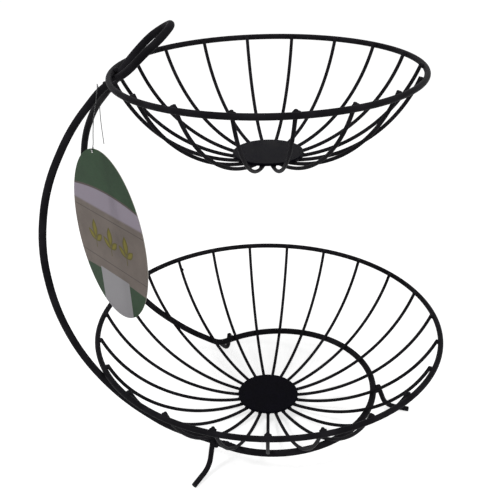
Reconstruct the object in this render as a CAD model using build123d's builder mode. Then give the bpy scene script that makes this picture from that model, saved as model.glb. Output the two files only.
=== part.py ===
from build123d import *

import os
from copy import copy
from math import atan2, cos, degrees, radians, sin, sqrt, tan

# Two-tier wire fruit basket. +X is the photograph's right, +Y is away from the viewer, +Z is up.
# It is set out from the floor under the hoop's centre. At the end it is moved so that the origin
# lies on the floor under the middle of the basket's outline.

# Wire sizes and fits
rim_wire = 4.6
stand_wire_size = 5.8
spoke_wire = 2.9
foot_wire = 4.5
weld_gap = 0.05
rest_gap = 0.4
stand_bend_share = 0.47

# Hoop, with its opening at the left
hoop_radius = 90
hoop_height = 25
hoop_half_angle = 120
hoop_end_run = 14

# Strands, neck and carrying loop
bow_past_rim = 18
strand_flare = 2.06
neck_height = 318.6
loop_reach = 50.4
loop_half_width = 22
loop_rise = 40.2

# Larger bowl
lower_rim_radius = 150
lower_depth = 82
lower_flat_radius = 24
lower_lean = 2.5
lower_spoke_count = 23
lower_spoke_angle = -90

# Smaller bowl
upper_rim_radius = 117.5
upper_depth = 70
upper_flat_radius = 10
upper_lean = 1.7
upper_spoke_count = 18
upper_spoke_angle = -80.9
rim_past_neck = 0.35
rim_over_neck = 0.9

# Parts that both bowls share
spoke_overrun = 1.2
disc_radius = 28
disc_thickness = 2.3
disc_edge_round = 0.8

# Feet
foot_turns = {"foot_right": -5.5, "foot_front": -124.5, "foot_back": 120}
foot_top_rise = 3
foot_leg_lean = 18.4
foot_toe_angle = 10.8
foot_toe_length = 21.4
foot_bend_radius = 14

# Hanging tag
tag_x = -130
tag_y = -14
tag_height = 193
tag_half_width = 52.8
tag_half_height = 76.1
tag_thickness = 0.5
tag_angle = 46.7
tag_roll_angle = -1.7
tag_hole_radius = 1.4
tag_hole_side = -9.1
tag_hole_height = 72.7

# Clear string of the tag
string_size = 0.7
string_bend_share = 0.45

# Routes of the stand wire. A strand's points are shares of the bow's reach to the left, of the half spread
# and of a climb from the hoop: to the larger bowl's rim for the points beside that bowl, and to the neck for
# those above. The loop's are shares of its reach, half width and rise.
strand_beside_shares = [
    (0.527, 1.001, 0.224),
    (0.746, 0.992, 0.692),
    (0.902, 1.003, 1.304),
]
strand_above_shares = [
    (0.985, 1.003, 0.468),
    (1, 0.973, 0.639),
]
front_top_shares = [
    (0.948, 0.822, 0.792),
    (0.836, 0.507, 0.914),
    (0.723, 0.151, 0.982),
    (0.668, 0.042, 1),
]
back_top_shares = [
    (0.938, 0.801, 0.787),
    (0.830, 0.507, 0.892),
    (0.723, 0.158, 0.959),
    (0.668, 0.044, 0.993),
]
loop_shares = [
    (0.282, -0.659, 0.214),
    (0.593, -0.977, 0.572),
    (0.859, -0.727, 0.821),
    (1, 0, 1),
    (0.796, 0.591, 0.856),
    (0.57, 0.818, 0.679),
    (0.264, 0.691, 0.338),
]

# Route of the string, from its end behind the tag to its bare end behind the back strand
string_route = [
    (-133.5, -7.9, 268.7),
    (-133.5, -7.9, 265.7),
    (-135.9, -10.1, 265.7),
    (-131.9, -13, 270.7),
    (-130, -15.5, 282),
    (-127, -17.4, 295.8),
    (-122.9, -19.8, 308.6),
    (-120.8, -16.8, 317.8),
    (-123.2, -6.5, 318.6),
    (-126.4, 8, 312.6),
    (-129.8, 23, 304),
    (-133.4, 34.5, 293.6),
    (-135.9, 39.5, 282.5),
    (-136.9, 41, 268.4),
    (-136.7, 40, 254.5),
]

def bowl_bend(rim_radius, depth, flat_radius):
    """Radius of the spokes' bend that runs level at the flat radius and passes just inside the rim."""
    reach = rim_radius - flat_radius
    side = (rim_wire + spoke_wire) / 2 + weld_gap
    return (reach**2 + depth**2 - side**2) / (2 * (depth + side))


# Seat of the loose bowl: it rests in the hoop and leans, at an even gap all round
lower_bend = bowl_bend(lower_rim_radius, lower_depth, lower_flat_radius)
seat_distance = lower_bend + (spoke_wire + stand_wire_size) / 2 + rest_gap
seat_reach = hoop_radius - lower_flat_radius * cos(radians(lower_lean))
seat_drop = lower_flat_radius * sin(radians(lower_lean))
seat_rise = sqrt((seat_distance**2 - seat_reach**2 - seat_drop**2) / (1 + (seat_drop / seat_reach) ** 2))
seat_shift = -seat_rise * seat_drop / seat_reach
rim_drop = lower_bend - lower_depth
lower_rim_x = seat_shift - rim_drop * sin(radians(lower_lean))
lower_rim_height = hoop_height + seat_rise - rim_drop * cos(radians(lower_lean))

# The stand: hoop, strands, neck and carrying loop are one bent wire
hoop_end_x = hoop_radius * cos(radians(hoop_half_angle))
hoop_end_y = hoop_radius * sin(radians(hoop_half_angle))
hoop_exit_x = hoop_end_x - hoop_end_run * sin(radians(hoop_half_angle))
hoop_exit_y = hoop_end_y + hoop_end_run * cos(radians(hoop_half_angle))

strand_half_spread = hoop_exit_y + strand_flare
bow_reach = lower_rim_radius + bow_past_rim
rim_climb = lower_rim_height - hoop_height
neck_climb = neck_height - hoop_height
neck_x = -front_top_shares[-1][0] * bow_reach


def strand_points(shares, side, climb):
    """Points of one strand, with side -1 for the front and 1 for the back."""
    return [(-x * bow_reach, side * y * strand_half_spread, hoop_height + z * climb) for x, y, z in shares]


def strand_route(top_shares, side):
    """One strand, from the hoop's end up to the neck."""
    hoop_end = [(x, side * y, hoop_height) for x, y in ((hoop_end_x, hoop_end_y), (hoop_exit_x, hoop_exit_y))]
    beside = strand_points(strand_beside_shares, side, rim_climb)
    return hoop_end + beside + strand_points(strand_above_shares + top_shares, side, neck_climb)


loop_points = [
    (neck_x + x * loop_reach, y * loop_half_width, neck_height + z * loop_rise) for x, y, z in loop_shares
]
stand_route = strand_route(front_top_shares, -1) + loop_points + strand_route(back_top_shares, 1)[::-1]


def bend_radii(points, share):
    """One bend radius for each inner point, a share of what its shorter run allows."""
    radii = []
    for before, corner, after in zip(points, points[1:], points[2:]):
        arriving = Vector(*corner) - Vector(*before)
        leaving = Vector(*after) - Vector(*corner)
        half_turn = radians(arriving.get_angle(leaving) / 2)
        radii.append(share * min(arriving.length, leaving.length) / tan(half_turn))
    return radii


def round_wire(size, points, radii):
    """A round wire along straight runs joined by tangent arcs."""
    with BuildPart() as wire:
        with BuildLine() as route:
            FilletPolyline(*points, radius=radii)
        with BuildSketch(Plane(origin=route.line @ 0, z_dir=route.line % 0)):
            Circle(size / 2)
        sweep()
    return wire.part


bowed_wire = round_wire(stand_wire_size, stand_route, bend_radii(stand_route, stand_bend_share))
with BuildPart() as stand_wire:
    add(bowed_wire)
    with BuildLine(Plane.XY.offset(hoop_height)) as hoop_line:
        CenterArc((0, 0), hoop_radius, -hoop_half_angle, 2 * hoop_half_angle)
    with BuildSketch(Plane(origin=hoop_line.line @ 0, z_dir=hoop_line.line % 0)):
        Circle(stand_wire_size / 2)
    sweep(path=hoop_line.line)


# Feet: a leg welded to the outside of the stand wire and a toe that runs out to the floor
toe_end_height = foot_wire / 2 * cos(radians(foot_toe_angle))
foot_bend_height = toe_end_height + foot_toe_length * sin(radians(foot_toe_angle))
foot_side = (stand_wire_size + foot_wire) / 2 + weld_gap
foot_parts = {}
for name, turn in foot_turns.items():
    past_hoop_end = max(0, abs(turn) - hoop_half_angle)
    seat_radius = hoop_radius / cos(radians(past_hoop_end)) + foot_side / cos(radians(foot_leg_lean))
    top_radius = seat_radius - foot_top_rise * tan(radians(foot_leg_lean))
    bend_radius = seat_radius + (hoop_height - foot_bend_height) * tan(radians(foot_leg_lean))
    toe_radius = bend_radius + foot_toe_length * cos(radians(foot_toe_angle))
    outward = Vector(cos(radians(turn)), sin(radians(turn)), 0)
    up = Vector(0, 0, 1)
    foot_points = [
        outward * top_radius + up * (hoop_height + foot_top_rise),
        outward * bend_radius + up * foot_bend_height,
        outward * toe_radius + up * toe_end_height,
    ]
    foot_parts[name] = round_wire(foot_wire, foot_points, [foot_bend_radius])


# Bowls: a rim ring, a centre disc and bent spokes, all set out from the rim's own plane
def leaning_plane(x, height, lean):
    """A level plane turned about Y, so that its right side is lower."""
    across = (cos(radians(lean)), 0, -sin(radians(lean)))
    upward = (sin(radians(lean)), 0, cos(radians(lean)))
    return Plane(origin=(x, 0, height), x_dir=across, z_dir=upward)


def spoke_plane(rim_plane, turn):
    """The upright plane through a bowl's axis at one spoke."""
    outward = rim_plane.x_dir * cos(radians(turn)) + rim_plane.y_dir * sin(radians(turn))
    return Plane(origin=rim_plane.origin, x_dir=outward, z_dir=outward.cross(rim_plane.z_dir))


def bent_spoke(rim_plane, turn, rim_radius, depth, flat_radius):
    """A wire from under the disc to just above the rim."""
    bend = bowl_bend(rim_radius, depth, flat_radius)
    climb = degrees(atan2(rim_radius - flat_radius, bend - depth) + spoke_overrun / bend)
    with BuildPart() as spoke:
        with BuildLine(spoke_plane(rim_plane, turn)) as route:
            CenterArc((flat_radius, bend - depth), bend, -90, climb)
        with BuildSketch(Plane(origin=route.line @ 0, z_dir=route.line % 0)):
            Circle(spoke_wire / 2)
        sweep()
    return spoke.part


def centre_disc(rim_plane, rim_radius, depth, flat_radius):
    """A flat disc that rests on the spokes at its edge."""
    bend = bowl_bend(rim_radius, depth, flat_radius)
    seat = disc_radius - flat_radius
    spoke_top = bend - sqrt((bend - spoke_wire / 2) ** 2 - seat**2)
    with BuildPart(rim_plane.offset(spoke_top + weld_gap - depth)) as disc:
        Cylinder(disc_radius, disc_thickness, align=(Align.CENTER, Align.CENTER, Align.MIN))
        fillet(disc.edges(), disc_edge_round)
    return disc.part


def bowl(name, rim_plane, rim_radius, depth, flat_radius, spoke_count, first_turn):
    """All pieces of one bowl, by node name."""
    with BuildPart(rim_plane) as rim:
        Torus(rim_radius, rim_wire / 2)
    pieces = {f"{name}_rim": rim.part, f"{name}_disc": centre_disc(rim_plane, rim_radius, depth, flat_radius)}
    for number in range(spoke_count):
        turn = first_turn + number * 360 / spoke_count
        pieces[f"{name}_spoke_{number + 1:02d}"] = bent_spoke(rim_plane, turn, rim_radius, depth, flat_radius)
    return pieces


# The loose bowl, in its seat
lower_plane = leaning_plane(lower_rim_x, lower_rim_height, lower_lean)
lower_bowl = bowl(
    "lower",
    lower_plane,
    lower_rim_radius,
    lower_depth,
    lower_flat_radius,
    lower_spoke_count,
    lower_spoke_angle,
)

# The smaller bowl is welded to the neck at its left end
neck_side = (rim_wire + stand_wire_size) / 2 + rim_over_neck
upper_rim_x = neck_x - rim_past_neck + upper_rim_radius * cos(radians(upper_lean))
upper_rim_height = neck_height + neck_side - upper_rim_radius * sin(radians(upper_lean))
upper_plane = leaning_plane(upper_rim_x, upper_rim_height, upper_lean)
upper_bowl = bowl(
    "upper",
    upper_plane,
    upper_rim_radius,
    upper_depth,
    upper_flat_radius,
    upper_spoke_count,
    upper_spoke_angle,
)


# Hanging tag: an upright oval card, turned about the vertical and rolled a little
tag_level = Vector(cos(radians(tag_angle)), -sin(radians(tag_angle)), 0)
tag_across = tag_level * cos(radians(tag_roll_angle)) + Vector(0, 0, sin(radians(tag_roll_angle)))
tag_face = Vector(-sin(radians(tag_angle)), -cos(radians(tag_angle)), 0)
tag_plane = Plane(origin=(tag_x, tag_y, tag_height), x_dir=tag_across, z_dir=tag_face)
with BuildPart() as hang_tag:
    with BuildSketch(tag_plane):
        Ellipse(tag_half_width, tag_half_height)
        with Locations((tag_hole_side, tag_hole_height)):
            Circle(tag_hole_radius, mode=Mode.SUBTRACT)
    extrude(amount=tag_thickness / 2, both=True)

# Clear string: through the tag's hole, up over both strands and down to its bare end
tag_string_radii = bend_radii(string_route, string_bend_share)
tag_string = round_wire(string_size, string_route, tag_string_radii)
print("string bend radii", [round(radius, 1) for radius in tag_string_radii])

# Every piece by its node name, moved so that what stands is centred over the origin
pieces = {"stand_wire": stand_wire.part, **foot_parts, **lower_bowl, **upper_bowl}
outline = Compound(children=[copy(piece) for piece in pieces.values()]).bounding_box()
centring = Location((-outline.center().X, -outline.center().Y, -outline.min.Z))
print("centring", [round(part, 3) for part in centring.position])
pieces.update({"hang_tag": hang_tag.part, "tag_string": tag_string})
os.makedirs("parts", exist_ok=True)
for name, piece in pieces.items():
    placed = piece.moved(centring)
    placed.label = name
    export_step(placed, f"parts/{name}.step")
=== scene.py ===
from math import asin, atan2, cos, pi, radians, sin

import bmesh
import bpy
from bpy.props import FloatProperty, FloatVectorProperty, IntProperty, PointerProperty
from mathutils import Matrix, Vector, noise


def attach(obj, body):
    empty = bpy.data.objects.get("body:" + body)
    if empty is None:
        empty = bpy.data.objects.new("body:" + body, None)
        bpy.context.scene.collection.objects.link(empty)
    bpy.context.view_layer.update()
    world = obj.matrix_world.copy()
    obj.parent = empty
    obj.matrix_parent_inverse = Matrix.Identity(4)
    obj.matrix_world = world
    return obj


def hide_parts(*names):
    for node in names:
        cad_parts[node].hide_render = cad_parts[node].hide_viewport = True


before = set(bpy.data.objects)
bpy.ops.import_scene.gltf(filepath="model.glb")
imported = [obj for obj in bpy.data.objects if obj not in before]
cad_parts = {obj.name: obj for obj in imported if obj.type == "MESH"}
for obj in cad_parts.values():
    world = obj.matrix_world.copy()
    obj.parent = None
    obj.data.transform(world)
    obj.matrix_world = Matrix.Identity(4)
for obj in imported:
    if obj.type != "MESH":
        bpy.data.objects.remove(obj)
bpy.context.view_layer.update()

bl_info = {
    "name": "Tiered Wire Basket",
    "version": (1, 0, 0),
    "blender": (4, 5, 0),
    "location": "View3D > Sidebar > Basket",
    "description": "Dresses a two-tier wire fruit basket: coated wire, welds, a card tag on a clear string",
    "category": "Object",
}

MM = 0.001
UP = Vector((0, 0, 1))


def mm(*lengths):
    """Lengths in mm, as metres."""
    return tuple(length * MM for length in lengths)


# Everything is set out from the floor under the hoop's centre. The origin lies under the outline's middle
HOOP_CENTRE = Vector((10.961, 0, 0)) * MM

# Gap that the solids keep where two wires are welded
WELD_GAP = 0.05 * MM

# Route of the string in mm from under the hoop's centre, from its end behind the tag to its bare end
STRING_ROUTE = [
    (-133.5, -7.9, 268.7),
    (-133.5, -7.9, 265.7),
    (-135.9, -10.1, 265.7),
    (-131.9, -13, 270.7),
    (-130, -15.5, 282),
    (-127, -17.4, 295.8),
    (-122.9, -19.8, 308.6),
    (-120.8, -16.8, 317.8),
    (-123.2, -6.5, 318.6),
    (-126.4, 8, 312.6),
    (-129.8, 23, 304),
    (-133.4, 34.5, 293.6),
    (-135.9, 39.5, 282.5),
    (-136.9, 41, 268.4),
    (-136.7, 40, 254.5),
]

# Where the three feet are welded to the hoop, in degrees from +X
FOOT_TURNS = (-5.5, -124.5, 120)

# The hoop is round up to this many degrees either way, and runs straight on from there
HOOP_HALF_ANGLE = 120

# Half sizes of the spokes' welds: along the spoke, towards the rim or disc, and to the side
RIM_BEAD = mm(1.7, 1.35, 2.3)
RIM_COLLAR = mm(1.6, 1.5, 3.0)
DISC_BEAD = mm(2.6, 1.0, 1.9)

# Half sizes of the spatter: outward, to the side and up
SPATTER_BALL = mm(1.7, 1.7, 1.9)

# Where the rim's bead and collar lie, as shares of the way from the spoke's middle to the rim's
RIM_BEAD_SHARE = 0.4
RIM_COLLAR_SHARE = 0.2

# Half sizes of a spoke's rounded end, as shares of the spoke's own half thickness
SPOKE_END_SHARES = (0.3, 1.04, 1.04)

# The two lumps at each foot: half sizes along the hoop, up and outward, then for each lump its place along
# the hoop as a share of the foot's wire and its drop in mm, and how far out they lie on the way to the foot
FOOT_BEAD = mm(2.2, 2.8, 2.0)
FOOT_BEAD_PLACES = ((-0.48, 0.7), (0.42, 0.5))
FOOT_BEAD_OUT_SHARE = 0.55

# Weld lumps along the hoop beside the front foot: degrees from +X, then rise and half length in mm.
# They share their half sizes up and outward, and how far out they lie
HOOP_LUMPS = (
    (-119.3, 2.0, 3.2),
    (-117.2, 2.5, 3.4),
    (-115.2, 2.3, 3.2),
    (-113.3, 2.1, 3.2),
    (-112.1, 1.5, 2.8),
)
HOOP_LUMP_SIDES = mm(2.3, 2.6)
HOOP_LUMP_OUT = 0.3 * MM

# Weld lumps between the neck's wires and the smaller bowl's rim: place and half sizes in mm
NECK_LUMPS = (
    ((-112.6, -3.4, 321.9), (2.6, 3.2, 1.9)),
    ((-112.4, 2.8, 321.2), (2.7, 3.4, 2.4)),
    ((-111.6, 0.0, 317.9), (4.2, 1.7, 2.0)),
    ((-115.6, -4.6, 317.6), (3.6, 1.8, 2.0)),
    ((-110.6, 3.2, 323.4), (1.9, 2.4, 2.1)),
)

# Where the unevenness of each kind of lump starts in the noise
COLLAR_SEED = 23
SPOKE_END_SEED = 50
DISC_SEED = 9
HOOP_SEED = 31
NECK_SEED = 77
SPATTER_SEED = 5

# The tag's print, in mm up and to the side from the tag's middle
BAND_FOOT = 22
TOP_EDGE = 41.5
TOP_LINE = 39.8
FIELD_LINES = (15.5, -27.5)
FIELD_LINE_WIDTH = 0.9
CORNER_EDGE = -37.5
PANEL_TOP = -36
PANEL_RIGHT = 21.5
PANEL_LEFT = -22

# How much the top's and the corners' edges bow, per metre
TOP_BOW = 2.2
CORNER_BOW = 0.9

# A row of leaf sprigs: their number, distance, stem in mm, and the leaves of one half of a sprig as
# middle, half length and half width in mm, and turn in degrees
SPRIG_COUNT = 3
SPRIG_PITCH = 23
STEM_HALF_WIDTH = 0.45
STEM_FOOT = -18
STEM_TOP = -4
SPRIG_LEAVES = (((0, 0), (9, 3.9), 90), ((5.4, -7), (6.6, 3.0), 42))

# The camera's turns in degrees: the lean of the rim that it is set out from, then its own turns
CAMERA_LEAN = 2.5
CAMERA_YAW = 1.68
CAMERA_PITCH = 27.709
CAMERA_ROLL = -0.701

# Place and size of each lamp in metres, and its power in watts
LAMPS = {
    "key_lamp": ((-0.9, -0.7, 1.5), 0.3, 9.0),
    "fill_lamp": ((1.1, -0.6, 0.9), 0.25, 3.5),
}
LAMP_AIM = Vector((0, 0, 0.15))


class BowlSizes(bpy.types.PropertyGroup):
    """Sizes of one bowl, as its wires are set out. The defaults are the larger bowl's."""

    rim_x: FloatProperty(
        name="Rim centre, X", description="From the hoop's centre", default=-4.056 * MM, unit="LENGTH"
    )
    rim_height: FloatProperty(
        name="Rim height", description="Height of the rim's centre", default=94.729 * MM, unit="LENGTH"
    )
    lean: FloatProperty(
        name="Lean", description="How far the rim leans to the right", default=radians(2.5), subtype="ANGLE"
    )
    rim_radius: FloatProperty(
        name="Rim radius", description="To the middle of the rim's wire", default=150 * MM, unit="LENGTH"
    )
    depth: FloatProperty(
        name="Depth", description="From the rim to the spokes' lowest point", default=82 * MM, unit="LENGTH"
    )
    flat_radius: FloatProperty(
        name="Flat radius", description="Where the spokes start to rise", default=24 * MM, unit="LENGTH"
    )
    spokes: IntProperty(name="Spokes", description="Number of spokes", default=23)
    first_turn: FloatProperty(
        name="First spoke", description="First spoke's direction", default=radians(-90), subtype="ANGLE"
    )


class BasketSizes(bpy.types.PropertyGroup):
    """The bowls, the wire sizes, the tag's place and the view."""

    lower: PointerProperty(name="Larger bowl", description="The bowl in the hoop", type=BowlSizes)
    upper: PointerProperty(name="Smaller bowl", description="The bowl at the neck", type=BowlSizes)
    rim_wire: FloatProperty(
        name="Rim wire", description="Diameter of the rims' wire", default=4.6 * MM, unit="LENGTH"
    )
    spoke_wire: FloatProperty(
        name="Spoke wire", description="Diameter of the spokes", default=2.9 * MM, unit="LENGTH"
    )
    stand_wire: FloatProperty(
        name="Stand wire", description="Diameter of the stand's wire", default=5.8 * MM, unit="LENGTH"
    )
    foot_wire: FloatProperty(
        name="Foot wire", description="Diameter of the feet", default=4.5 * MM, unit="LENGTH"
    )
    spoke_overrun: FloatProperty(
        name="Spoke overrun", description="Length of spoke past the rim", default=1.2 * MM, unit="LENGTH"
    )
    disc_radius: FloatProperty(
        name="Disc radius", description="Radius of both centre discs", default=28 * MM, unit="LENGTH"
    )
    hoop_radius: FloatProperty(
        name="Hoop radius", description="To the middle of the hoop's wire", default=90 * MM, unit="LENGTH"
    )
    hoop_height: FloatProperty(
        name="Hoop height", description="Hoop's middle above the floor", default=25 * MM, unit="LENGTH"
    )
    string_size: FloatProperty(
        name="String", description="Diameter of the tag's string", default=0.7 * MM, unit="LENGTH"
    )
    tag_middle: FloatVectorProperty(
        name="Tag middle",
        description="Middle of the tag, from under the hoop's centre",
        default=(-130 * MM, -14 * MM, 193 * MM),
        subtype="TRANSLATION",
    )
    tag_turn: FloatProperty(
        name="Tag turn", description="Turn about the vertical", default=radians(46.7), subtype="ANGLE"
    )
    tag_roll: FloatProperty(
        name="Tag roll", description="Turn in its own plane", default=radians(-1.7), subtype="ANGLE"
    )
    camera_place: FloatVectorProperty(
        name="Camera",
        description="Camera, from under the hoop's centre",
        default=(12.51 * MM, -550.89 * MM, 457.26 * MM),
        subtype="TRANSLATION",
    )
    camera_lens: FloatProperty(
        name="Lens", description="Focal length on a 36 mm sensor", default=52.905, unit="CAMERA"
    )


class BasketColours(bpy.types.PropertyGroup):
    """Colours in linear light."""

    # The wires' coat is a lighter copy of the discs' black coat: its raised base colour is painted sheen
    # that stands in for the highlights along the wires
    wire_coat_with_painted_sheen: FloatVectorProperty(
        name="Wire coat",
        description="Black powder coat of the wires",
        default=(0.0096, 0.0090, 0.0106),
        subtype="COLOR",
    )
    # The discs' coat is a darker copy of the same black coat: its lowered base colour is painted shade on
    # the discs
    sheet_coat_with_painted_shade: FloatVectorProperty(
        name="Sheet coat",
        description="Black powder coat of the discs",
        default=(0.0012, 0.0010, 0.0024),
        subtype="COLOR",
    )
    tag_green: FloatVectorProperty(
        name="Tag green",
        description="Top and lower corners of the tag",
        default=(0.0175, 0.043, 0.0185),
        subtype="COLOR",
    )
    tag_mauve: FloatVectorProperty(
        name="Tag mauve", description="Pale band of the tag", default=(0.31, 0.27, 0.325), subtype="COLOR"
    )
    tag_taupe: FloatVectorProperty(
        name="Tag taupe",
        description="Middle field of the tag",
        default=(0.150, 0.124, 0.108),
        subtype="COLOR",
    )
    tag_leaf: FloatVectorProperty(
        name="Tag yellow",
        description="Leaf sprigs on the tag",
        default=(0.20, 0.17, 0.022),
        subtype="COLOR",
    )
    tag_panel: FloatVectorProperty(
        name="Tag panel",
        description="Bare panel low on the tag",
        default=(0.33, 0.32, 0.335),
        subtype="COLOR",
    )
    tag_back: FloatVectorProperty(
        name="Tag back", description="Bare back of the tag", default=(0.60, 0.57, 0.52), subtype="COLOR"
    )
    # The clear string's grey is painted: its darker streaks are painted shade and its paler streaks are
    # painted sheen, both for the light that the clear line bends
    string_painted_shade: FloatVectorProperty(
        name="String, dark",
        description="Darker streaks of the clear string",
        default=(0.05, 0.052, 0.054),
        subtype="COLOR",
    )
    string_painted_sheen: FloatVectorProperty(
        name="String, pale",
        description="Paler streaks of the clear string",
        default=(0.10, 0.102, 0.104),
        subtype="COLOR",
    )


def sizes():
    """The basket's sizes."""
    return bpy.context.scene.basket_sizes


def colours():
    """The basket's colours."""
    return bpy.context.scene.basket_colours


def shaded(colour, share):
    """A colour made darker or lighter by a share."""
    return tuple(part * share for part in colour)


def fit_upper_bowl():
    """Writes the smaller bowl's own sizes over the defaults."""
    bowl = sizes().upper
    bowl.rim_x = 4.88 * MM
    bowl.rim_height = 321.22 * MM
    bowl.lean = radians(1.7)
    bowl.rim_radius = 117.5 * MM
    bowl.depth = 70 * MM
    bowl.flat_radius = 10 * MM
    bowl.spokes = 18
    bowl.first_turn = radians(-80.9)


class Socket:
    """One node socket, with the arithmetic of Math nodes."""

    def __init__(self, tree, socket):
        self.tree = tree
        self.socket = socket

    def _math(self, operation, *values):
        return self.tree.node("ShaderNodeMath", {"operation": operation}, *values)

    def __add__(self, other):
        return self._math("ADD", self, other)

    __radd__ = __add__

    def __sub__(self, other):
        return self._math("SUBTRACT", self, other)

    def __rsub__(self, other):
        return self._math("SUBTRACT", other, self)

    def __mul__(self, other):
        return self._math("MULTIPLY", self, other)

    __rmul__ = __mul__

    def __truediv__(self, other):
        return self._math("DIVIDE", self, other)

    def __rtruediv__(self, other):
        return self._math("DIVIDE", other, self)

    def __lt__(self, other):
        return self._math("LESS_THAN", self, other)

    def __gt__(self, other):
        return self._math("GREATER_THAN", self, other)

    def __abs__(self):
        return self._math("ABSOLUTE", self)


class Tree:
    """The node tree of a material or a world."""

    def __init__(self, owner):
        owner.use_nodes = True
        self.owner = owner
        self.nodes = owner.node_tree.nodes
        self.links = owner.node_tree.links
        self.nodes.clear()

    def node(self, kind, settings=None, *values, output=0, **named):
        """Adds a node, sets it, feeds its sockets in order or by name, and gives one of its outputs."""
        made = self.nodes.new(kind)
        for key, value in (settings or {}).items():
            setattr(made, key, value)
        sockets = list(zip(made.inputs, values))
        sockets += [(self._named_socket(made, key), value) for key, value in named.items()]
        for socket, value in sockets:
            if isinstance(value, Socket):
                self.links.new(value.socket, socket)
            else:
                socket.default_value = value
        return Socket(self, made.outputs[output]) if made.outputs else None

    def _named_socket(self, made, key):
        wanted = key.replace("_", " ").lower()
        for socket in made.inputs:
            if socket.name.lower() == wanted and socket.enabled:
                return socket
        raise KeyError(f"{made.bl_idname} has no socket {key}")

    def mix(self, factor, first, second):
        """A colour between two colours."""
        settings = {"data_type": "RGBA", "clamp_factor": True}
        first, second = (value if isinstance(value, Socket) else (*value, 1) for value in (first, second))
        # The Mix node's third output is its colour
        return self.node("ShaderNodeMix", settings, output=2, Factor=factor, A=first, B=second)

    def place(self):
        """The point in the piece's own frame, in metres."""
        return self.node("ShaderNodeTexCoord", output="Object")

    def along(self, place, direction, start):
        """How far the point lies along a direction, from a start."""
        dot = {"operation": "DOT_PRODUCT"}
        return self.node("ShaderNodeVectorMath", dot, place, tuple(direction), output="Value") - start

    def step(self, value, edge, softness):
        """0 below an edge and 1 above it, over a soft width to either side."""
        ramp = {"interpolation_type": "SMOOTHSTEP", "clamp": True}
        return self.node("ShaderNodeMapRange", ramp, value, edge - softness, edge + softness, 0.0, 1.0)

    def speckle(self, place, scale, detail, roughness):
        """Noise about 0.5, with features of about 1 / scale metres."""
        return self.node(
            "ShaderNodeTexNoise", None, Vector=place, Scale=scale, Detail=detail, Roughness=roughness
        )

    def bump(self, height, strength, distance):
        """A normal from a height."""
        return self.node("ShaderNodeBump", None, Strength=strength, Distance=distance, Height=height)

    def seen(self):
        """1 for the rays that show the surroundings: from the camera, mirrored, or through glass."""
        seen = 0.0
        for ray in ("Is Camera Ray", "Is Glossy Ray", "Is Transmission Ray"):
            shown = self.node("ShaderNodeLightPath", output=ray)
            seen = self.node("ShaderNodeMath", {"operation": "MAXIMUM"}, seen, shown)
        return seen

    def finish(self, **shader):
        """Ends a material's tree in a Principled shader."""
        surface = self.node("ShaderNodeBsdfPrincipled", None, **shader)
        self.node("ShaderNodeOutputMaterial", None, surface)
        return self.owner


def powder_coat(name, coat, shine):
    """Black semi-gloss powder coat on steel: a fine orange peel, and thin dust."""
    tree = Tree(bpy.data.materials.new(name))
    place = tree.place()
    peel = tree.speckle(place, scale=1100.0, detail=2.0, roughness=0.55)
    cloud = tree.speckle(place, scale=60.0, detail=3.0, roughness=0.6)
    grain = tree.speckle(place, scale=4200.0, detail=1.0, roughness=0.5)
    dust = tree.step(grain, edge=0.72, softness=0.04) * tree.step(cloud, edge=0.5, softness=0.15) * 0.25
    worn = tree.step(cloud, edge=0.55, softness=0.2)
    colour = tree.mix(worn, coat, shaded(coat, 1.9))
    return tree.finish(
        Base_Color=tree.mix(dust, colour, shaded(coat, 5)),
        Roughness=0.42 + 0.16 * cloud,
        Specular_IOR_Level=shine,
        Specular_Tint=(0.88, 0.86, 1, 1),
        Normal=tree.bump(peel, strength=0.22, distance=0.25 * MM),
    )


def tag_axes():
    """The tag's middle, its direction across, its direction up and its face's direction."""
    size = sizes()
    level = Vector((cos(size.tag_turn), -sin(size.tag_turn), 0))
    across = level * cos(size.tag_roll) + Vector((0, 0, sin(size.tag_roll)))
    face = Vector((-sin(size.tag_turn), -cos(size.tag_turn), 0))
    return HOOP_CENTRE + Vector(size.tag_middle), across, face.cross(across), face


def leaf(side, rise, middle, half, turn):
    """1 in the middle of a pointed leaf, 0 on its edge and below 0 outside it, with its sizes in mm."""
    along = (side - middle[0] * MM) * cos(turn) + (rise - middle[1] * MM) * sin(turn)
    over = (rise - middle[1] * MM) * cos(turn) - (side - middle[0] * MM) * sin(turn)
    length_share = along / (half[0] * MM)
    return 1.0 - length_share * length_share - abs(over / (half[1] * MM))


def sprigs(tree, picture, side, rise):
    """Lays a row of plain leaf sprigs over the picture, each mirrored about its stem."""
    pitch = SPRIG_PITCH * MM
    within = abs(side) < SPRIG_COUNT / 2 * pitch
    mirrored = abs(tree.node("ShaderNodeMath", {"operation": "WRAP"}, side, pitch / 2, -pitch / 2))
    bright = colours().tag_leaf
    dark = shaded(bright, 0.5)

    end_softness = 0.2 * MM
    stem = 1.0 - tree.step(mirrored, STEM_HALF_WIDTH * MM, softness=0.1 * MM)
    stem = stem * tree.step(rise, STEM_FOOT * MM, end_softness)
    stem = stem * (1.0 - tree.step(rise, STEM_TOP * MM, end_softness))
    picture = tree.mix(stem * within, picture, dark)

    for middle, half, turn in SPRIG_LEAVES:
        inside = leaf(mirrored, rise, middle, half, radians(turn))
        picture = tree.mix(tree.step(inside, edge=0.0, softness=0.06) * within, picture, dark)
        picture = tree.mix(tree.step(inside, edge=0.42, softness=0.3) * within, picture, bright)
    return picture


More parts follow.
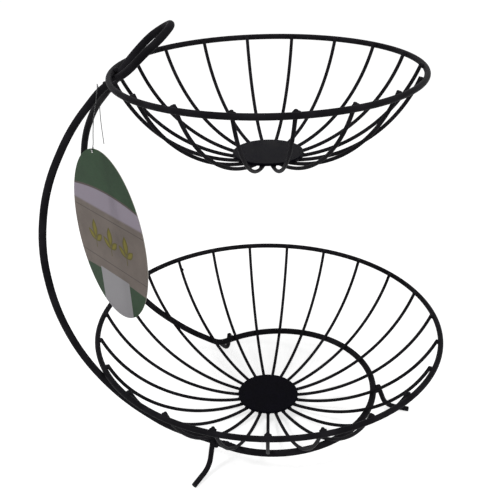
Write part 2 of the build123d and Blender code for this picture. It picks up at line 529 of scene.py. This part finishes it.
def printed_front(tree, place, side, rise):
    """A plain generic print: a green top and corners, a pale band, a lined field with sprigs, a panel."""
    colour = colours()
    softness = 0.3 * MM
    patches = tree.speckle(place, scale=45.0, detail=3.0, roughness=0.6)
    taupe = colour.tag_taupe
    field = tree.mix(tree.step(patches, edge=0.5, softness=0.2), taupe, shaded(taupe, 1.25))
    green = colour.tag_green
    green = tree.mix(tree.step(patches, edge=0.48, softness=0.2), green, shaded(green, 1.35))

    picture = tree.mix(tree.step(rise, BAND_FOOT * MM, softness=1.5 * MM), field, colour.tag_mauve)
    arc = rise + side * side * TOP_BOW
    picture = tree.mix(tree.step(arc, TOP_LINE * MM, softness), picture, shaded(taupe, 0.55))
    picture = tree.mix(tree.step(arc, TOP_EDGE * MM, softness), picture, green)

    line_softness = 0.1 * MM
    for foot in FIELD_LINES:
        line = tree.step(rise, foot * MM, line_softness)
        line = line * (1.0 - tree.step(rise, (foot + FIELD_LINE_WIDTH) * MM, line_softness))
        picture = tree.mix(line, picture, shaded(taupe, 0.6))
    picture = sprigs(tree, picture, side, rise)

    corners = tree.step(CORNER_EDGE * MM - rise - CORNER_BOW * side * side, 0.0, softness)
    picture = tree.mix(corners, picture, green)
    panel = tree.step(PANEL_RIGHT * MM - side, 0.0, softness)
    panel = panel * tree.step(side - PANEL_LEFT * MM, 0.0, softness)
    panel = panel * tree.step(PANEL_TOP * MM - rise, 0.0, softness)
    return tree.mix(panel, picture, colour.tag_panel)


def printed_card():
    """Coated card, printed in front and bare behind."""
    tree = Tree(bpy.data.materials.new("printed_card"))
    place = tree.place()
    middle, across, up, face = tag_axes()
    side = tree.along(place, across, middle.dot(across))
    rise = tree.along(place, up, middle.dot(up))
    front = tree.along(place, face, middle.dot(face))
    fibre = tree.speckle(place, scale=1500.0, detail=2.0, roughness=0.6)
    bare = colours().tag_back
    back = tree.mix(tree.step(fibre, edge=0.5, softness=0.3), bare, shaded(bare, 0.9))
    on_front = tree.step(front, edge=0.2 * MM, softness=0.02 * MM)
    return tree.finish(
        Base_Color=tree.mix(on_front, back, printed_front(tree, place, side, rise)),
        Roughness=0.45 + 0.15 * fibre,
        Specular_IOR_Level=0.12,
        Normal=tree.bump(fibre, strength=0.12, distance=0.1 * MM),
    )


def clear_line():
    """Clear nylon line: see-through, with a soft gloss, and greyed by what it bends, where that grey is
    painted shade and sheen in streaks.
    """
    tree = Tree(bpy.data.materials.new("clear_nylon_line"))
    streak = tree.speckle(tree.place(), scale=900.0, detail=2.0, roughness=0.5)
    return tree.finish(
        # Painted shade and painted sheen in streaks make up the clear line's grey
        Base_Color=tree.mix(streak, colours().string_painted_shade, colours().string_painted_sheen),
        Roughness=0.18 + 0.12 * streak,
        Alpha=0.65 + 0.2 * streak,
        Specular_IOR_Level=0.3,
    )


def give(piece, material):
    """The piece takes one material."""
    piece.data.materials.clear()
    piece.data.materials.append(material)


def mesh_object(name, mesh):
    """Puts a mesh in the scene, and frees what it was built in."""
    data = bpy.data.meshes.new(name)
    mesh.to_mesh(data)
    mesh.free()
    made = bpy.data.objects.new(name, data)
    bpy.context.scene.collection.objects.link(made)
    return made


def weld_piece(name, mesh, body):
    """A smooth piece of coated weld that rides on a body."""
    piece = mesh_object(name, mesh)
    piece.data.polygons.foreach_set("use_smooth", [True] * len(piece.data.polygons))
    give(piece, bpy.data.materials["black_coat_with_painted_sheen"])
    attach(piece, body)


def bowl_bend(bowl):
    """Radius of the spokes' bend, which ends beside the rim's wire."""
    size = sizes()
    reach = bowl.rim_radius - bowl.flat_radius
    side = (size.rim_wire + size.spoke_wire) / 2 + WELD_GAP
    return (reach**2 + bowl.depth**2 - side**2) / (2 * (bowl.depth + side))


def spoke_frames(bowl):
    """Each spoke's number and its frame, with the rim level at height 0 and the spoke towards +X."""
    place = Matrix.Translation(HOOP_CENTRE + Vector((bowl.rim_x, 0, bowl.rim_height)))
    leaning = place @ Matrix.Rotation(bowl.lean, 4, "Y")
    for number in range(bowl.spokes):
        turn = bowl.first_turn + number * 2 * pi / bowl.spokes
        yield number, leaning @ Matrix.Rotation(turn, 4, "Z")


def spoke_point(bowl, angle):
    """The spoke's middle at an angle of its bend, and its direction there, in the spoke's frame."""
    bend = bowl_bend(bowl)
    radius = bowl.flat_radius + bend * sin(angle)
    height = bend - bowl.depth - bend * cos(angle)
    return Vector((radius, 0, height)), Vector((cos(angle), 0, sin(angle)))


def lump(mesh, matrix, seed, steps, roughness):
    """A slightly uneven rounded lump, from a unit ball that a matrix puts in place."""
    made = bmesh.ops.create_icosphere(mesh, subdivisions=steps, radius=1.0)
    shift = Vector((seed * 7.3, seed * 3.1, seed * 1.7))
    for vertex in made["verts"]:
        swell = noise.noise(vertex.co * 1.7 + shift)
        vertex.co *= 1 + roughness * swell
        vertex.co = matrix @ vertex.co


def aimed(place, along, halves, side=UP):
    """A matrix that puts a unit ball at a place, with half sizes along, towards a side and across."""
    first = along.normalized()
    third = first.cross(side).normalized()
    second = third.cross(first)
    turn = Matrix((first, second, third)).transposed().to_4x4()
    return Matrix.Translation(place) @ turn @ Matrix.Diagonal((*halves, 1))


def rim_welds(bowl):
    """A bead and a collar where every spoke meets the rim, and the spoke's rounded end."""
    size = sizes()
    mesh = bmesh.new()
    bend = bowl_bend(bowl)
    end = atan2(bowl.rim_radius - bowl.flat_radius, bend - bowl.depth)
    contact, along = spoke_point(bowl, end)
    rim_middle = Vector((bowl.rim_radius, 0, 0))
    to_rim = rim_middle - contact
    bead = aimed(contact.lerp(rim_middle, RIM_BEAD_SHARE), along, RIM_BEAD, to_rim)
    collar_rise = along * 0.1 * MM
    collar = aimed(contact.lerp(rim_middle, RIM_COLLAR_SHARE) + collar_rise, along, RIM_COLLAR, to_rim)
    tip, along = spoke_point(bowl, end + size.spoke_overrun / bend)
    sunk = along * 0.15 * MM
    halves = [size.spoke_wire / 2 * share for share in SPOKE_END_SHARES]
    rounded_end = aimed(tip - sunk, along, halves, Vector((0, 1, 0)))
    for number, placed in spoke_frames(bowl):
        lump(mesh, placed @ bead, number, steps=2, roughness=0.18)
        lump(mesh, placed @ collar, number + COLLAR_SEED, steps=2, roughness=0.2)
        lump(mesh, placed @ rounded_end, number + SPOKE_END_SEED, steps=2, roughness=0.05)
    return mesh


def disc_welds(bowl):
    """Small beads where the spokes meet the disc's edge from below."""
    size = sizes()
    mesh = bmesh.new()
    inset = 1.2 * MM
    angle = asin((size.disc_radius - inset - bowl.flat_radius) / bowl_bend(bowl))
    middle, along = spoke_point(bowl, angle)
    bead_rise = UP * size.spoke_wire * 0.32
    bead = aimed(middle + bead_rise, along, DISC_BEAD)
    for number, placed in spoke_frames(bowl):
        lump(mesh, placed @ bead, number + DISC_SEED, steps=2, roughness=0.15)
    return mesh


def hoop_directions(degrees_from_x):
    """The directions outward and along the hoop at an angle."""
    turn = radians(degrees_from_x)
    return Vector((cos(turn), sin(turn), 0)), Vector((-sin(turn), cos(turn), 0))


def foot_welds():
    """Two lumps where each foot's leg leans on the stand's wire."""
    size = sizes()
    mesh = bmesh.new()
    side = (size.stand_wire + size.foot_wire) / 2
    for number, foot_turn in enumerate(FOOT_TURNS):
        outward, along = hoop_directions(foot_turn)
        past_end = radians(max(0, abs(foot_turn) - HOOP_HALF_ANGLE))
        reach = size.hoop_radius / cos(past_end) + side * FOOT_BEAD_OUT_SHARE
        middle = HOOP_CENTRE + outward * reach
        for share, drop in FOOT_BEAD_PLACES:
            place = middle + along * share * size.foot_wire + UP * (size.hoop_height - drop * MM)
            lump(mesh, aimed(place, along, FOOT_BEAD), number * 3 + share, steps=3, roughness=0.12)
    return mesh


def hoop_weld():
    """The lumpy weld that runs along the hoop from the front foot."""
    size = sizes()
    mesh = bmesh.new()
    for number, (hoop_turn, rise, half) in enumerate(HOOP_LUMPS):
        outward, along = hoop_directions(hoop_turn)
        place = HOOP_CENTRE + outward * (size.hoop_radius + HOOP_LUMP_OUT)
        place += UP * (size.hoop_height + rise * MM)
        bead = aimed(place, along, (half * MM, *HOOP_LUMP_SIDES))
        lump(mesh, bead, number + HOOP_SEED, steps=3, roughness=0.16)
    return mesh


def neck_weld():
    """Lumps that join the neck's two wires and carry the smaller bowl's rim."""
    mesh = bmesh.new()
    for number, (place, halves) in enumerate(NECK_LUMPS):
        bead = Matrix.Translation(HOOP_CENTRE + Vector(place) * MM)
        bead = bead @ Matrix.Diagonal((*mm(*halves), 1))
        lump(mesh, bead, number + NECK_SEED, steps=3, roughness=0.2)
    return mesh


def spatter_ball():
    """A ball of weld spatter on one spoke of the larger bowl."""
    mesh = bmesh.new()
    bowl = sizes().lower
    spoke_number = 14
    bend_angle = radians(64.1)
    middle, along = spoke_point(bowl, bend_angle)
    stand_off = along.cross(Vector((0, 1, 0))) * 1.6 * MM
    ball = Matrix.Translation(middle + stand_off) @ Matrix.Diagonal((*SPATTER_BALL, 1))
    placed = dict(spoke_frames(bowl))[spoke_number]
    lump(mesh, placed @ ball, SPATTER_SEED, steps=2, roughness=0.12)
    return mesh


class BASKET_OT_camera(bpy.types.Operator):
    """Puts the camera where the photograph was taken"""

    bl_idname = "basket.camera"
    bl_label = "Camera"

    def execute(self, context):
        size = sizes()
        data = bpy.data.cameras.new("camera")
        data.sensor_width = 36.0
        data.lens = size.camera_lens
        data.clip_start = 0.01
        camera = bpy.data.objects.new("camera", data)
        context.scene.collection.objects.link(camera)
        turn = Matrix.Rotation(radians(CAMERA_LEAN), 4, "Y") @ Matrix.Rotation(radians(CAMERA_YAW), 4, "Z")
        turn = turn @ Matrix.Rotation(pi / 2 - radians(CAMERA_PITCH), 4, "X")
        turn = turn @ Matrix.Rotation(radians(CAMERA_ROLL), 4, "Z")
        camera.matrix_world = Matrix.Translation(HOOP_CENTRE + Vector(size.camera_place)) @ turn
        context.scene.camera = camera
        return {"FINISHED"}


class BASKET_OT_string(bpy.types.Operator):
    """Makes the tag's clear string along its route"""

    bl_idname = "basket.string"
    bl_label = "String"

    def execute(self, context):
        size = sizes()
        curve = bpy.data.curves.new("clear_string", "CURVE")
        curve.dimensions = "3D"
        curve.bevel_depth = size.string_size / 2
        curve.bevel_resolution = 4
        curve.resolution_u = 12
        curve.use_fill_caps = True
        spline = curve.splines.new("NURBS")
        spline.points.add(len(STRING_ROUTE) - 1)
        route = [HOOP_CENTRE + Vector(point) * MM for point in STRING_ROUTE]
        for point, place in zip(spline.points, route):
            point.co = (*place, 1)
        spline.order_u = 3
        spline.use_endpoint_u = True
        string = bpy.data.objects.new("clear_string", curve)
        context.scene.collection.objects.link(string)
        give(string, clear_line())
        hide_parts("tag_string")
        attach(string, "stand")
        return {"FINISHED"}


class BASKET_OT_wires(bpy.types.Operator):
    """Gives every wire and disc its powder coat, with painted sheen on the wires and painted shade on the
    discs
    """

    bl_idname = "basket.wires"
    bl_label = "Wires"

    def execute(self, context):
        # The wires and welds take the copy with painted sheen, and the discs take the copy with painted
        # shade
        wire_coat_with_painted_sheen = powder_coat("black_coat_with_painted_sheen", colours().wire_coat_with_painted_sheen, shine=0.02)
        sheet_coat_with_painted_shade = powder_coat("black_sheet_coat_with_painted_shade", colours().sheet_coat_with_painted_shade, shine=0.028)
        for name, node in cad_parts.items():
            if name not in ("hang_tag", "tag_string"):
                give(node, sheet_coat_with_painted_shade if name in ("lower_disc", "upper_disc") else wire_coat_with_painted_sheen)
        return {"FINISHED"}


class BASKET_OT_bowl_welds(bpy.types.Operator):
    """Makes the weld beads of both bowls"""

    bl_idname = "basket.bowl_welds"
    bl_label = "Bowl welds"

    def execute(self, context):
        for name, body in (("lower", "lower_bowl"), ("upper", "stand")):
            bowl = getattr(sizes(), name)
            weld_piece(f"{name}_rim_welds", rim_welds(bowl), body)
            weld_piece(f"{name}_disc_welds", disc_welds(bowl), body)
        weld_piece("spatter_ball", spatter_ball(), "lower_bowl")
        return {"FINISHED"}


class BASKET_OT_stand_welds(bpy.types.Operator):
    """Makes the welds of the feet, the hoop and the neck"""

    bl_idname = "basket.stand_welds"
    bl_label = "Stand welds"

    def execute(self, context):
        weld_piece("foot_welds", foot_welds(), "stand")
        weld_piece("hoop_weld", hoop_weld(), "stand")
        weld_piece("neck_weld", neck_weld(), "stand")
        return {"FINISHED"}


class BASKET_OT_tag(bpy.types.Operator):
    """Gives the card tag its print"""

    bl_idname = "basket.tag"
    bl_label = "Tag"

    def execute(self, context):
        give(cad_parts["hang_tag"], printed_card())
        return {"FINISHED"}


class BASKET_OT_stage(bpy.types.Operator):
    """Makes the white floor, the backdrop light and the lamps"""

    bl_idname = "basket.stage"
    bl_label = "Stage"

    def execute(self, context):
        context.scene.view_settings.view_transform = "Standard"
        self.floor()
        context.scene.world = self.studio()
        for name, (place, size, watts) in LAMPS.items():
            self.lamp(context.scene, name, place, size, watts)
        return {"FINISHED"}

    def floor(self):
        """A matt floor that takes shadows, and that is lit up to white where it is seen."""
        mesh = bmesh.new()
        bmesh.ops.create_grid(mesh, x_segments=1, y_segments=1, size=6.0)
        floor = mesh_object("floor", mesh)
        tree = Tree(bpy.data.materials.new("pale_floor"))
        matt = tree.node("ShaderNodeBsdfDiffuse", None, Color=(0.8, 0.8, 0.8, 1))
        dark = tree.node("ShaderNodeEmission", None, Color=(0, 0, 0, 1), Strength=0.0)
        white = tree.node("ShaderNodeEmission", None, Color=(1, 1, 1, 1), Strength=0.66)
        glow = tree.node("ShaderNodeMixShader", None, tree.seen(), dark, white)
        both = tree.node("ShaderNodeAddShader", None, matt, glow)
        tree.node("ShaderNodeOutputMaterial", None, both)
        give(floor, tree.owner)

    def studio(self):
        """A soft grey light from all round, which is white where it is seen."""
        tree = Tree(bpy.data.worlds.new("studio"))
        soft = tree.node("ShaderNodeBackground", None, Color=(0.8, 0.8, 0.8, 1), Strength=0.55)
        white = tree.node("ShaderNodeBackground", None, Color=(1, 1, 1, 1), Strength=1.0)
        mixed = tree.node("ShaderNodeMixShader", None, tree.seen(), soft, white)
        tree.node("ShaderNodeOutputWorld", None, mixed)
        return tree.owner

    def lamp(self, scene, name, place, size, watts):
        """A square lamp that points at the basket."""
        data = bpy.data.lights.new(name, "AREA")
        data.shape = "SQUARE"
        data.size = size
        data.energy = watts
        lamp = bpy.data.objects.new(name, data)
        scene.collection.objects.link(lamp)
        lamp.location = place
        lamp.rotation_euler = (LAMP_AIM - lamp.location).to_track_quat("-Z", "Y").to_euler()


class BASKET_PT_panel(bpy.types.Panel):
    """Lists the basket's steps"""

    bl_idname = "BASKET_PT_panel"
    bl_label = "Tiered Wire Basket"
    bl_space_type = "VIEW_3D"
    bl_region_type = "UI"
    bl_category = "Basket"

    def draw(self, context):
        for step in STEPS:
            self.layout.operator(step.bl_idname)


STEPS = (
    BASKET_OT_camera,
    BASKET_OT_string,
    BASKET_OT_wires,
    BASKET_OT_bowl_welds,
    BASKET_OT_stand_welds,
    BASKET_OT_tag,
    BASKET_OT_stage,
)
CLASSES = (BowlSizes, BasketSizes, BasketColours, *STEPS, BASKET_PT_panel)


def register():
    """Adds the classes and the scene's properties."""
    for kind in CLASSES:
        bpy.utils.register_class(kind)
    bpy.types.Scene.basket_sizes = PointerProperty(type=BasketSizes)
    bpy.types.Scene.basket_colours = PointerProperty(type=BasketColours)


def unregister():
    """Takes the properties and the classes away again."""
    del bpy.types.Scene.basket_colours
    del bpy.types.Scene.basket_sizes
    for kind in reversed(CLASSES):
        bpy.utils.unregister_class(kind)


def main():
    """Registers the add-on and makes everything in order."""
    register()
    fit_upper_bowl()
    bpy.ops.basket.camera()
    bpy.ops.basket.string()
    bpy.ops.basket.wires()
    bpy.ops.basket.bowl_welds()
    bpy.ops.basket.stand_welds()
    bpy.ops.basket.tag()
    bpy.ops.basket.stage()


if __name__ == "__main__":
    main()
